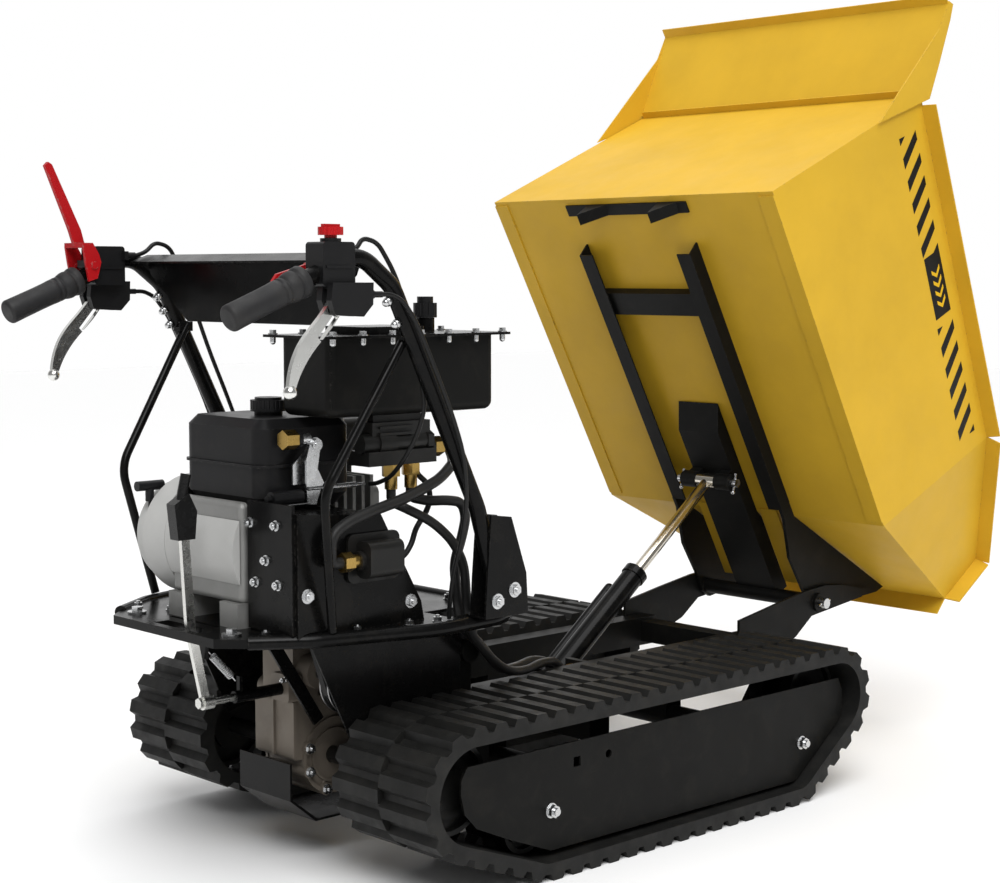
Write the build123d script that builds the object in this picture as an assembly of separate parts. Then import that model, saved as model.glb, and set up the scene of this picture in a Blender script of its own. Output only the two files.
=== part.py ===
"""Tracked power wheelbarrow (mini dumper) with a hydraulic tipping bin, shown with the bin tipped.

Frame: +X is the direction of travel, +Y the machine's left, +Z up.  Z = 0 is the ground under the
track lugs and Y = 0 the machine's middle plane.  Every node is stored MIDDLE_X further back than it
is drawn, which puts X = 0 in the middle of the whole machine.  Millimetres and degrees.
"""
from build123d import *
import os
from math import sin, cos, tan, radians, hypot

os.makedirs("parts", exist_ok=True)

# ---------------------------------------------------------------- driving dimensions
MIDDLE_X = 46.5               # middle of the machine's length, as drawn
TRACK_CENTRE_Y = 284.5        # middle of each rubber track
TRACK_WIDTH = 217.0
BELT = 17.0                   # thickness of the rubber band
LUG_HEIGHT = 11.0
LUG_COUNT = 55
GROUND_RUN_Z = BELT + LUG_HEIGHT      # height of the band's inner face on the ground run
SPROCKET = (-517.0, 162.5, 75.0)      # x, z and belt radius
IDLER = (361.0, 173.5, 64.0)
ROLLER_RADIUS = 45.0
REAR_ROLLER = (-362.0, GROUND_RUN_Z + ROLLER_RADIUS, ROLLER_RADIUS)
FRONT_ROLLER = (254.0, GROUND_RUN_Z + ROLLER_RADIUS, ROLLER_RADIUS)
BELT_WHEELS = (SPROCKET, REAR_ROLLER, FRONT_ROLLER, IDLER)
PLATE_Y = 368.0               # outer face of the side cover plates
WHEEL_GAP = 1.0               # clearance between a wheel and the band

DECK_Z = 400.0                # top of the platform
DECK_SHEET = 5.0
RAIL_TUBE = 11.0              # radius of the guard rail round the platform
GUARD_RAIL = ((-770, -172), (-690, -226), (-500, -284), (-345, -275), (-294, -212))

HANDLE_Y = 300.0
HANDLE_TUBE = 13.0
GRIP_RADIUS = 19.5
LEVER_PIVOT = (-712.0, 897.0)         # steering levers, x and z
CLUTCH_PIVOT = (-747.0, 946.0)
HANDLE_PATH = ((-880, 874), (-663, 962), (-600, 914), (-434, 578), (-384, 412))

TIP_ANGLE = 60.72             # bin's tilt about the hinge pin in the stored pose
HINGE = (616.0, 287.0)
HINGE_PIN = 10.0
BIN_ORIGIN = (209.0, 1073.0)  # rear edge of the bin floor, tipped
BIN_WALL = 3.0
FLOOR_LENGTH, FLOOR_HALF = 699.0, 349.0
RIM_REAR = (47.0, 471.0)
RIM_KNEE = (738.0, 371.0)
RIM_FRONT = (1012.0, 322.0)
LIP_FRONT, LIP_HALF = (1026.0, 200.0), 264.0
RIM_FLANGE = 30.0

HINGE_LOCAL = (884.6, -29.4)          # hinge pin, in the bin's own frame
ROD_PIN_LOCAL = (596.0, -50.0)        # cylinder rod pin, in the bin's own frame
ROD_PIN = 8.0
CYLINDER_FOOT = (-5.0, 172.0)         # lower pivot of the cylinder
BARREL_RADIUS, BARREL_BORE, ROD_RADIUS = 21.0, 17.0, 11.0
EXPOSED_ROD = 258.0                   # from the rod pin to the barrel's mouth, tipped
RUN_FIT = 0.05                        # radial clearance of a running fit

CRANK = (-645.0, 515.0)               # engine crankshaft, x and z, along Y
CRANKSHAFT = 12.0
RECOIL_ROPE = (-717.0, 166.0)         # x and y of the starter rope
GEARBOX_INPUT = (-560.0, 305.0)
GEAR_PIVOT = (-753.0, -38.0, 282.0)   # axis of the gear shift shaft, along X
SHIFT_SHAFT = 6.0


# ---------------------------------------------------------------- shape helpers
def block(x0, x1, y0, y1, z0, z1):
    return Pos((x0 + x1) / 2, (y0 + y1) / 2, (z0 + z1) / 2) * Box(x1 - x0, y1 - y0, z1 - z0)


def prism(points, direction, amount):
    return extrude(make_face(Polyline(*points, close=True)), amount=amount, dir=direction)


def xz_prism(points, y0, y1):
    return prism([(x, y0, z) for x, z in points], (0, 1, 0), y1 - y0)


def xy_prism(points, z0, z1):
    return prism([(x, y, z0) for x, y in points], (0, 0, 1), z1 - z0)


def yz_prism(points, x0, x1):
    return prism([(x0, y, z) for y, z in points], (1, 0, 0), x1 - x0)


def rod(start, end, radius, bore=0.0):
    a, b = Vector(*start), Vector(*end)
    length = (b - a).length
    align = (Align.CENTER, Align.CENTER, Align.MIN)
    place = Plane(origin=a, z_dir=b - a).location
    body = place * Cylinder(radius, length, align=align)
    if bore:
        body = body - place * Pos(0, 0, -1) * Cylinder(bore, length + 2, align=align)
    return body


def y_rod(x, z, y0, y1, radius, bore=0.0):
    return rod((x, y0, z), (x, y1, z), radius, bore)


def x_rod(y, z, x0, x1, radius, bore=0.0):
    return rod((x0, y, z), (x1, y, z), radius, bore)


def z_rod(x, y, z0, z1, radius, bore=0.0):
    return rod((x, y, z0), (x, y, z1), radius, bore)


def hexagon(start, end, across_flats):
    a, b = Vector(*start), Vector(*end)
    face = Plane(origin=a, z_dir=b - a) * RegularPolygon(across_flats / 2, 6, major_radius=False)
    return extrude(face, amount=(b - a).length, dir=b - a)


def tube(points, radii, radius):
    path = FilletPolyline(*points, radius=radii)
    return sweep(Plane(origin=path @ 0, z_dir=path % 0) * Circle(radius), path=path)


def bend_radii(points):
    """The largest arc each corner of a hose or cable allows: 0.45 of the shorter run."""
    radii = []
    for before, at, after in zip(points, points[1:], points[2:]):
        run_in, run_out = Vector(*at) - Vector(*before), Vector(*after) - Vector(*at)
        half_turn = radians(run_in.get_angle(run_out)) / 2
        radii.append(0.45 * min(run_in.length, run_out.length) / tan(half_turn))
    return radii


def hose(name, points, radius):
    radii = bend_radii(points)
    body = tube(points, radii, radius)
    path = FilletPolyline(*points, radius=radii)
    volume = 3.14159265 * radius ** 2 * path.length
    print(f"{name}: length {path.length:.0f}, radii {[round(r) for r in radii]}, "
          f"volume {body.volume:.0f} of {volume:.0f}")
    return body


def hex_bolt(at, direction, across_flats=13.0, washer=9.5):
    """A bolt head on its washer, seated on the surface at that point."""
    a, d = Vector(*at), Vector(*direction)
    disc = rod(tuple(a), tuple(a + d * 1.6), washer)
    head = hexagon(tuple(a + d * 1.6), tuple(a + d * 7.6), across_flats)
    stud = rod(tuple(a + d * 7.6), tuple(a + d * 10.5), across_flats * 0.27)
    return disc + head + stud


def mirrored(shape):
    return mirror(shape, about=Plane.XZ)


def pair(shape):
    return group(shape, mirrored(shape))


def group(*shapes):
    solids = []
    for shape in shapes:
        solids.extend(shape.solids())
    return Compound(solids)


def save(name, shape):
    export_step(Pos(-MIDDLE_X, 0, 0) * shape, f"parts/{name}.step")


def in_bin(shape):
    return Pos(BIN_ORIGIN[0], 0, BIN_ORIGIN[1]) * Rot(0, TIP_ANGLE, 0) * shape


def bin_point(forward, up):
    """World x, z of a point of the bin's own frame in the stored, tipped pose."""
    t = radians(TIP_ANGLE)
    return (BIN_ORIGIN[0] + forward * cos(t) + up * sin(t),
            BIN_ORIGIN[1] - forward * sin(t) + up * cos(t))


# ---------------------------------------------------------------- tracks
def belt_edges(wheels, offset, y):
    """Tangent lines and arcs round the wheels, anticlockwise seen from the right-hand side."""
    spans = []
    for (x0, z0, r0), (x1, z1, r1) in zip(wheels, wheels[1:] + wheels[:1]):
        length = hypot(x1 - x0, z1 - z0)
        dx, dz = (x1 - x0) / length, (z1 - z0) / length
        lean = (r0 - r1) / length
        flat = (1 - lean ** 2) ** 0.5
        nx, nz = dz * flat + dx * lean, -dx * flat + dz * lean
        spans.append(((x0 + nx * (r0 + offset), z0 + nz * (r0 + offset)),
                      (x1 + nx * (r1 + offset), z1 + nz * (r1 + offset)), (nx, nz)))
    edges = []
    for i, (start, end, normal) in enumerate(spans):
        edges.append(Line((start[0], y, start[1]), (end[0], y, end[1])))
        following = spans[(i + 1) % len(spans)]
        wheel = wheels[(i + 1) % len(wheels)]
        mx, mz = normal[0] + following[2][0], normal[1] + following[2][1]
        size = hypot(mx, mz)
        radius = wheel[2] + offset
        middle = (wheel[0] + mx / size * radius, y, wheel[1] + mz / size * radius)
        edges.append(ThreePointArc((end[0], y, end[1]), middle,
                                   (following[0][0], y, following[0][1])))
    return edges


def band(wheels, inner, outer, y0, y1):
    ring = make_face(belt_edges(wheels, outer, y0)) - make_face(belt_edges(wheels, inner, y0))
    return extrude(ring, amount=y1 - y0, dir=(0, 1, 0))


def lug_row(y0, y1, phase, base_offset, height, base, tip):
    """Trapezoid blocks at equal spacing along the band, between two widths of the belt."""
    path = Wire([edge for edge in belt_edges(BELT_WHEELS, base_offset, y0)])
    lugs = []
    for k in range(LUG_COUNT):
        at = path.position_at((k + phase) / LUG_COUNT)
        along = path.tangent_at((k + phase) / LUG_COUNT)
        out = Vector(along.Z, 0, -along.X)
        corners = [at - along * base / 2, at + along * base / 2,
                   at + along * tip / 2 + out * height, at - along * tip / 2 + out * height]
        lugs.append(prism([tuple(c) for c in corners], (0, 1, 0), y1 - y0))
    return lugs


def track():
    outer_y, inner_y = -TRACK_CENTRE_Y - TRACK_WIDTH / 2, -TRACK_CENTRE_Y + TRACK_WIDTH / 2
    sink = 3.5
    body = band(BELT_WHEELS, 0, BELT, outer_y, inner_y)
    outer_row = lug_row(outer_y, -TRACK_CENTRE_Y, 0.0, BELT - sink, LUG_HEIGHT + sink, 35, 20)
    inner_row = lug_row(-TRACK_CENTRE_Y, inner_y, 0.5, BELT - sink, LUG_HEIGHT + sink, 35, 20)
    guides = lug_row(-TRACK_CENTRE_Y - 13, -TRACK_CENTRE_Y + 13, 0.0, 3.0, -15.0, 20, 9)
    ground = block(-700, 600, outer_y - 1, inner_y + 1, -20, 0)
    return body + outer_row + inner_row + guides - ground


# ---------------------------------------------------------------- wheels inside the tracks
def grooved_wheel(wheel, bore, hub):
    """Two rims on a hub, with a groove between them for the band's guide lugs."""
    x, z, r = wheel
    rim_radius = r - WHEEL_GAP
    y = -TRACK_CENTRE_Y
    body = y_rod(x, z, y - 52, y + 52, hub)
    for side in (-1, 1):
        rim = y_rod(x, z, min(y + side * 17, y + side * 46), max(y + side * 17, y + side * 46),
                    rim_radius, rim_radius - 8)
        web = y_rod(x, z, min(y + side * 28, y + side * 35), max(y + side * 28, y + side * 35),
                    rim_radius - 4)
        body = body + rim + web
    if bore:
        body = body - y_rod(x, z, y - 60, y + 60, bore)
    return body


def sprocket():
    """Rims joined by drive bars, on an axle that runs into the gearbox."""
    x, z, r = SPROCKET
    y = -TRACK_CENTRE_Y
    body = grooved_wheel(SPROCKET, 0, 30)
    for k in range(12):
        a = radians(30 * k)
        body = body + y_rod(x + 52 * cos(a), z + 52 * sin(a), y - 30, y + 30, 6)
    axle = y_rod(x, z, y, -40, 14)
    flange = y_rod(x, z, y + 52, y + 60, 42)
    for k in range(4):
        a = radians(45 + 90 * k)
        flange = flange + hexagon((x + 30 * cos(a), y - 53, z + 30 * sin(a)),
                                  (x + 30 * cos(a), y - 46, z + 30 * sin(a)), 13)
    disc = y_rod(x, z, y - 48, y - 44, 46)
    return body + axle + flange + disc


def track_frame():
    """Two rails inside the track, with the fixed axles of the idler and the ground rollers."""
    y = -TRACK_CENTRE_Y
    outline = [(-440, 150), (-440, 96), (-405, 60), (275, 60), (392, 150), (392, 194), (335, 194),
               (300, 150)]
    rails = None
    for side in (-1, 1):
        lo, hi = sorted((y + side * 58, y + side * 66))
        rail = xz_prism(outline, lo, hi)
        rails = rail if rails is None else rails + rail
    for x, z, _ in (IDLER, REAR_ROLLER, FRONT_ROLLER):
        rails = rails + y_rod(x, z, y - 72, y + 72, 12)
    for x in (-250, -54, 150):
        rails = rails + block(x - 20, x + 20, y - 60, y + 60, 112, 140)
    rails = rails + block(-190, 82, y - 60, y - 20, GROUND_RUN_Z + 3, GROUND_RUN_Z + 15)
    rails = rails + block(-190, 82, y + 20, y + 60, GROUND_RUN_Z + 3, GROUND_RUN_Z + 15)
    for side in (-1, 1):
        for x in (-180, 64):
            rails = rails + block(x, x + 8, y + side * 40 - 20, y + side * 40 + 20, 40, 115)
    for x in (-341, 285):
        rails = rails + y_rod(x, 102, -PLATE_Y + 4, y - 60, 9)
    return rails


def side_plate():
    outline = [(-515, 201.5), (392, 202.5), (403, 179), (404, 142), (375, 100), (341, 69),
               (284, 35), (-341, 38), (-435, 76), (-497, 104), (-521, 130), (-529, 162),
               (-527, 185)]
    inside_band = extrude(make_face(belt_edges(BELT_WHEELS, -5, -PLATE_Y)), amount=4, dir=(0, 1, 0))
    plate = xz_prism(outline, -PLATE_Y, -PLATE_Y + 4) & inside_band
    plate = plate - y_rod(-211, 169, -PLATE_Y - 1, -PLATE_Y + 5, 7)
    plate = plate - block(-291, -275, -PLATE_Y - 1, -PLATE_Y + 5, 161, 177)
    for x in (-341, 285):
        plate = plate - y_rod(x, 102, -PLATE_Y - 1, -PLATE_Y + 5, 6.4)
    return plate


def side_plate_stud(x):
    y = -PLATE_Y
    stud = y_rod(x, 102, y - 16, y + 4, 6)
    nut = hexagon((x, y - 2, 102), (x, y - 11, 102), 18) + y_rod(x, 102, y - 2, y, 12)
    return stud + nut


# ---------------------------------------------------------------- chassis
def hinge_bracket():
    """Right-hand plate that carries the bin's hinge pin."""
    outline = [(376, 200), (376, 280), (487, 299), (577, 313), (640, 318), (700, 312), (790, 292),
               (758, 281), (597, 262), (547, 227), (470, 200)]
    plate = xz_prism(outline, -150, -144)
    return plate - y_rod(HINGE[0], HINGE[1], -151, -143, HINGE_PIN + RUN_FIT)


def cylinder_ear():
    """Saddle for the cylinder's foot pin, open towards the rear so the pin can lift out of it."""
    x, z = CYLINDER_FOOT
    half = 12.0
    lean = radians(147.5)
    ux, uz = cos(lean), sin(lean)
    ear = xz_prism([(x - 28, 138), (x + 26, 138), (x + 26, z + 16), (x + 6, z + 24), (x - 28, z + 24)],
                   -36, -28)
    slot = xz_prism([(x + uz * half, z - ux * half), (x - uz * half, z + ux * half),
                     (x - uz * half + ux * 60, z + ux * half + uz * 60),
                     (x + uz * half + ux * 60, z - ux * half + uz * 60)], -37, -27)
    return ear - slot - y_rod(x, z, -37, -27, half)


def hose_bulkhead():
    """Bracket on the cross beam where the two cylinder hoses end."""
    return block(8, 20, -108, -52, 139, 246)


def chassis_frame():
    side = block(-490, 430, -150, -110, 195, 250)
    side = side + hinge_bracket()
    for x in (-250, 190):
        side = side + block(x - 20, x + 20, -150, -110, 126, 196)
    side = side + block(-30, 20, -150, -110, 118, 196)
    for x in (-480, -350):
        side = side + block(x, x + 40, -150, -110, 249, DECK_Z - DECK_SHEET)
    side = side + cylinder_ear()
    side = side + y_rod(HINGE[0], HINGE[1], -156, -150, 18, HINGE_PIN + RUN_FIT)
    frame = side + mirrored(side)
    reach = TRACK_CENTRE_Y - 66
    for x in (-250, 190):
        frame = frame + y_rod(x, 128, -reach, reach, 20)
    frame = frame + block(-30, 20, -111, 111, 118, 140)
    frame = frame + block(384, 424, -111, 111, 204, 244)
    frame = frame + block(-420, -380, -111, 111, 204, 244)
    frame = frame + y_rod(-330, 322, -172, 172, 18)
    frame = frame + block(-350, -342, -149, 149, 340, 390)
    return frame + hose_bulkhead()


def belly_plates():
    """Skid plate under the gearbox and the sheet skirts beside it."""
    skid = xz_prism([(-614, 166), (-614, 109), (-566, 70), (-440, 70), (-440, 66), (-568, 66),
                     (-618, 107), (-618, 166)], -67, 67)
    skirt = xz_prism([(-662, DECK_Z - DECK_SHEET), (-345, DECK_Z - DECK_SHEET), (-352, 255), (-570, 204)],
                     -168, -165)
    fold = block(-662, -345, -165, -157, DECK_Z - DECK_SHEET - 3, DECK_Z - DECK_SHEET)
    strut = prism([(-668, -82, 362), (-650, -82, 372), (-562, -82, 236), (-580, -82, 226)], (0, 1, 0), 5)
    hanger = block(-676, -640, -82, -77, 362, DECK_Z - DECK_SHEET)
    _, y, z = GEAR_PIVOT
    bearing = x_rod(y, z, -702, -614.3, 9.5, SHIFT_SHAFT + RUN_FIT)
    bearing = bearing + block(-694, -689, y - 4, y + 4, z + 8, z + 32)
    return group(skid, skirt + fold, mirrored(skirt + fold), strut + hanger, bearing)


# ---------------------------------------------------------------- gearbox
def gearbox_lugs():
    """Places of the case bolts round the axle, as offsets in x and z."""
    return [(56 * cos(radians(a)), 56 * sin(radians(a))) for a in (-160, -110, -72, -20, 25, 160)]


def gearbox_case():
    """Case round the axle with an upright rear box, arc ribs, bolt lugs and the input housing on top."""
    x, z, _ = SPROCKET
    drum = y_rod(x, z, -47, 47, 60)
    box = block(-598, -458, -47, 47, 164, 262)
    box = fillet(box.edges().filter_by(Axis.Y).group_by(Axis.X)[0], 7)
    body = drum + box + block(-602, -597, -3, 3, 168, 258)
    for side in (-1, 1):
        lo, hi = sorted((side * 46, side * 51))
        body = body + y_rod(x, z, lo, hi, 62, 56) + y_rod(x, z, lo, hi, 44, 40)
        for a in (200, 245, 150):
            c, s = cos(radians(a)), sin(radians(a))
            body = body + rod((x + 42 * c, side * 47, z + 42 * s), (x + 58 * c, side * 47, z + 58 * s), 3)
        body = body + block(-598, -592, lo, hi, 168, 258)
    body = body + y_rod(-572, 268, -58, 58, 17)
    body = body + block(-590, -520, -40, 40, 262, DECK_Z - DECK_SHEET - 2)
    body = body + y_rod(GEARBOX_INPUT[0], GEARBOX_INPUT[1], -72, -38, 26)
    for dx, dz in gearbox_lugs():
        body = body + y_rod(x + dx, z + dz, -55, 55, 10)
    fork_housing = fillet(block(-614, -588, -60, -14, 262, 306).edges().filter_by(Axis.X), 6)
    body = body + fork_housing
    body = body - x_rod(GEAR_PIVOT[1], GEAR_PIVOT[2], -620, -565, SHIFT_SHAFT + RUN_FIT)
    body = body - y_rod(x, z, -80, 80, 14 + RUN_FIT)
    body = body - y_rod(GEARBOX_INPUT[0], GEARBOX_INPUT[1], -80, -45, 10 + RUN_FIT)
    return body


def gearbox_bolts():
    x, z, _ = SPROCKET
    bolts = [hex_bolt((x + dx, -55, z + dz), (0, -1, 0), 12, 8.5) for dx, dz in gearbox_lugs()]
    return bolts + [hex_bolt((-614, -52, 298), (-1, 0, 0), 7, 4.5)]


# ---------------------------------------------------------------- platform
def rail_sweep(radius):
    """The guard rail's path round the platform, swept with that radius."""
    half = [(x, y, DECK_Z - 5) for x, y in GUARD_RAIL]
    other = [(x, -y, z) for x, y, z in reversed(half)]
    return tube(half + other, [60, 160, 90, 55, 55, 90, 160, 60], radius)


def deck_holes():
    """Belt opening, hose and front cut-outs, the gear lever's gate and a lightening slot."""
    gate = block(-793, -767, -78, 42, DECK_Z - 20, DECK_Z + 1)
    slot = block(-748, -741, -60, 70, DECK_Z - 20, DECK_Z + 1)
    belt = block(-690, -500, -166, -129, DECK_Z - 20, DECK_Z + 1)
    hose_gap = block(-435, -350, -236, -176, DECK_Z - 20, DECK_Z + 1)
    front = block(-430, -358, 176, 236, DECK_Z - 20, DECK_Z + 1)
    return gate + slot + belt + hose_gap + front


def deck_plate():
    """Sheet platform inside the guard rail, a thick rear plate and the rail welded round it."""
    rear = xy_prism([(-806, -136), (-755, -186), (-690, -186), (-690, 186), (-755, 186), (-806, 136)],
                    DECK_Z - 14, DECK_Z)
    sheet = xy_prism([(-752, -180), (-690, -217), (-500, -275), (-348, -266), (-303, -208),
                      (-303, 208), (-348, 266), (-500, 275), (-690, 217), (-752, 180)],
                     DECK_Z - DECK_SHEET, DECK_Z)
    spring_tab = block(-758, -753, -46, -30, 350, DECK_Z - 13)
    return (sheet + rear + rail_sweep(RAIL_TUBE)) - deck_holes() + spring_tab


def deck_bolt_places():
    right = [(-524, -246), (-472, -252), (-376, -248), (-738, -172)]
    middle = [(-716, 112), (-590, 150), (-470, 120), (-326, -112), (-326, 112)]
    return right + [(x, -y) for x, y in right] + middle


def deck_bolts():
    bolts = [hex_bolt((x, y, DECK_Z), (0, 0, 1), 12, 8) for x, y in deck_bolt_places()]
    bolts.append(hex_bolt((-613, -231, DECK_Z), (0, 0, 1), 11, 6.8))
    for side in (-1, 1):
        at = (-768, side * 128)
        large = z_rod(at[0], at[1], DECK_Z, DECK_Z + 3, 15)
        bolts.append(large + hexagon((at[0], at[1], DECK_Z + 3), (at[0], at[1], DECK_Z + 10), 16))
    return bolts


# ---------------------------------------------------------------- engine and belt drive
def under_tank():
    """Room the fuel tank takes above the engine."""
    return block(-714, -520, -129, 97, 573, 760)


def engine_block():
    """Crankcase on two feet, with a finned cylinder leaning forwards."""
    x, z = CRANK
    case = fillet(block(-728, -560, -98, 88, 436, 590).edges(), 10)
    case = case - y_rod(x, z, -100, -60, CRANKSHAFT + RUN_FIT)
    for y0 in (-98, 40):
        case = case + block(-736, -556, y0, y0 + 46, DECK_Z, 438)
    cylinder = block(-570, -446, -58, 58, 480, 600)
    for k in range(6):
        fin_x = -548 + 18 * k
        cylinder = cylinder + block(fin_x, fin_x + 6, -74, 74, 470, 612)
    cover = fillet(block(-448, -422, -52, 52, 490, 590).edges().filter_by(Axis.X), 12)
    return (case + cylinder + cover) - under_tank()


def engine_shroud():
    """Fan shroud drum on the crankcase's left with the recoil housing outside it."""
    x, z = CRANK
    drum = y_rod(x, z, 88, 150, 97) - y_rod(x, z, 87, 144, 92) - under_tank()
    cowl = y_rod(x, z, -96, 87, 97) - block(-729, -559, -99, 87, 430, 591)
    cowl = cowl - block(-800, -500, -120, 120, 300, 448) - block(-571, -400, -120, 120, 400, 700)
    recoil = y_rod(x, z, 150, 186, 84) - y_rod(x, z, 149, 181, 79)
    for k in range(12):
        a = radians(30 * k + 15)
        recoil = recoil - rod((x + 50 * cos(a), 178, z + 50 * sin(a)),
                              (x + 50 * cos(a), 190, z + 50 * sin(a)), 8)
    recoil = recoil - z_rod(*RECOIL_ROPE, z, z + 120, 5)
    return group(drum + recoil, cowl - under_tank())


def recoil_grip():
    """T-grip on its rope, which lies in the recoil housing at rest and is pulled upwards."""
    x, y = RECOIL_ROPE
    z = CRANK[1]
    rope = z_rod(x, y, z - 20, z + 56, 2.5)
    stem = z_rod(x, y, z + 55, z + 78, 7)
    return rope + stem + rod((x - 24, y, z + 80), (x + 24, y, z + 80), 8)


def fuel_tank():
    outer = block(-705, -529, -120, 88, 574, 714)
    outer = fillet(outer.edges().filter_by(Axis.Z), 26)
    outer = chamfer(outer.faces().sort_by(Axis.Z)[-1].edges(), 14)
    outer = chamfer(outer.faces().sort_by(Axis.Z)[0].edges(), 22)
    inner = fillet(block(-702, -532, -117, 85, 598, 698).edges().filter_by(Axis.Z), 23)
    seam = fillet(block(-709, -525, -124, 92, 642, 646).edges().filter_by(Axis.Z), 29)
    neck = z_rod(-625, -30, 712, 720, 22)
    return outer + seam + neck - inner - z_rod(-625, -30, 690, 740, 16)


def fuel_cap():
    cap = z_rod(-625, -30, 720.5, 738, 28)
    for k in range(24):
        a = radians(15 * k)
        cap = cap - z_rod(-625 + 29 * cos(a), -30 + 29 * sin(a), 724, 739, 2.2)
    return cap + z_rod(-625, -30, 737, 742, 21) + z_rod(-625, -30, 708, 721, 15.5)


def muffler():
    can = fillet(block(-448, -330, 60, 150, 610, 690).edges(), 14)
    pipe = tube([(-435, 20, 592), (-435, 20, 640), (-435, 90, 650)], [20], 11)
    shield = block(-440, -338, 152, 154, 616, 684)
    return group(can + pipe, shield)


def carburettor():
    """Carburettor with its air cleaner and intake pipe, the throttle damper and the fuel tap's disc."""
    body = block(-640, -596, 97, 132, 614, 650)
    duct = tube([(-620, 114, 640), (-620, 114, 674), (-550, 122, 674)], [18], 11)
    cleaner = fillet(block(-560, -458, 97, 152, 646, 706).edges(), 12)
    intake = tube([(-598, 112, 631), (-500, 112, 631), (-500, 60, 631), (-500, 60, 612.3)], [18, 11], 8)
    damper = x_rod(-141, 598, -704, -648, 11) + x_rod(-141, 598, -712, -704, 5)
    disc = x_rod(-141, 685, -658.5, -651.5, 14)
    return group(body + duct + cleaner + intake, damper, disc)


def governor_arm():
    """Bright governor arm with its cross shaft, backing plate, link rod and thin speed wire."""
    y0, y1 = -152, -148
    arm = xz_prism([(-639, 674), (-645, 655), (-645, 611), (-643, 586), (-627, 586), (-618, 609),
                    (-612, 617), (-624, 639), (-618, 674)], y0, y1) + y_rod(-628, 676, y0, y1, 11)
    shaft = y_rod(-628, 676, -160, -135, 4.5) + y_rod(-628, 676, -158, -152, 9)
    back = xz_prism([(-660, 646), (-624, 680), (-620, 668), (-637, 646), (-637, 616), (-660, 616)],
                    -138, -135)
    link = x_rod(-154, 610, -645, -535, 2.6) + x_rod(-154, 610, -606, -552, 4.2)
    collar = x_rod(-141, 685, -651, -634, 10)
    wire = x_rod(-152, 588, -700, -640, 1.2)
    return arm + shaft + back + link + collar + wire


def belt_guard():
    """Steel housing over the belt drive, with the pump bracket plate on its rear end."""
    outline = [(-717, DECK_Z), (-717, 583), (-673, 580), (-560, 572), (-480, 430), (-474, DECK_Z)]
    inner = [(-711, DECK_Z - 1), (-711, 577), (-673, 574), (-564, 566), (-486, 430), (-480, DECK_Z - 1)]
    cover = xz_prism(outline, -223, -106) - xz_prism(inner, -218, -105)
    rear = block(-723, -717, -217, -108, DECK_Z + 4, 596)
    return cover + rear - rail_sweep(RAIL_TUBE + 1)


def guard_bolts():
    bolts = [hex_bolt((x, -223, z), (0, -1, 0), 14, 11) for x, z in ((-700, 462), (-502, 432))]
    for y, z in ((-116, 563), (-180, 564), (-129, 475), (-184, 476), (-155, 510)):
        bolts.append(hex_bolt((-723, y, z), (-1, 0, 0), 11, 8))
    return bolts


def pulley(x, z, radius, y):
    """V-grooved pulley, 22 wide, centred on that y."""
    body = y_rod(x, z, y - 11, y + 11, radius - 7)
    for side in (-1, 1):
        lo, hi = sorted((y + side * 8, y + side * 11))
        body = body + y_rod(x, z, lo, hi, radius + 3)
    return body


def engine_pulley():
    x, z = CRANK
    return pulley(x, z, 36, -148) + y_rod(x, z, -160, -62, CRANKSHAFT)


def gearbox_pulley():
    x, z = GEARBOX_INPUT
    return pulley(x, z, 50, -148) + y_rod(x, z, -158, -50, 10)


def drive_belt():
    wheels = ((CRANK[0], CRANK[1], 30.0), (GEARBOX_INPUT[0], GEARBOX_INPUT[1], 44.0))
    return band(wheels, 0, 8, -148 - 6, -148 + 6)


# ---------------------------------------------------------------- hydraulics
def oil_tank():
    outer = block(-636, -303, -200, -76, 717, 836)
    low = outer.edges().filter_by(Axis.X).group_by(Axis.Z)[0]
    low = low + outer.edges().filter_by(Axis.Y).group_by(Axis.Z)[0]
    outer = fillet(low + outer.edges().filter_by(Axis.Z), 14)
    return outer - block(-632, -307, -196, -80, 731, 837)


def oil_tank_lid():
    lid = fillet(block(-656, -284, -220, -56, 836.3, 840.3).edges().filter_by(Axis.Z), 6)
    seat = fillet(block(-560, -440, -190, -86, 840, 852).edges().filter_by(Axis.Z), 8)
    neck = z_rod(-372, -110, 840, 862, 15)
    return lid + seat + neck


def tank_nuts():
    nuts = []
    for k in range(7):
        x = -640 + 342 * k / 6
        for y in (-212, -64):
            top = z_rod(x, y, 840.3, 842, 7.5) + hexagon((x, y, 842), (x, y, 847), 10)
            dome = z_rod(x, y, 829, 836.3, 4.6) + Pos(x, y, 829) * Sphere(4.6)
            nuts.append(top)
            nuts.append(dome)
    return nuts


def oil_cap():
    cap = z_rod(-372, -110, 862.5, 886, 19)
    for k in range(12):
        a = radians(30 * k)
        cap = cap - z_rod(-372 + 20.5 * cos(a), -110 + 20.5 * sin(a), 866, 890, 3)
    return cap + z_rod(-372, -110, 885, 896, 13)


def control_valve():
    """Spool valve: long round spool housing between a port block below and a relief block above."""
    body = block(-560, -424, -196, -146, 640, 662) + block(-548, -432, -190, -152, 660, 706)
    spool = x_rod(-180, 674, -566, -440, 15) + x_rod(-180, 674, -536, -504, 18)
    ribs = block(-536, -470, -194, -188, 686, 690) + block(-536, -470, -194, -188, 696, 700)
    ring = hexagon((-440, -180, 674), (-428, -180, 674), 32)
    port = x_rod(-171, 661, -425, -414, 14)
    post = block(-540, -444, -182, -160, 705, 717)
    return body + spool + ribs + ring + port + post


def valve_lever():
    """Tipping lever on the valve's left face, bent up past the oil tank to its ball knob."""
    hub = y_rod(-500, 664, -145.7, -128, 9)
    arm = tube([(-500, -134, 664), (-500, -52, 664), (-500, -52, 792)], [20], 5)
    return hub + arm + Pos(-500, -52, 794) * Sphere(13)


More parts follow.
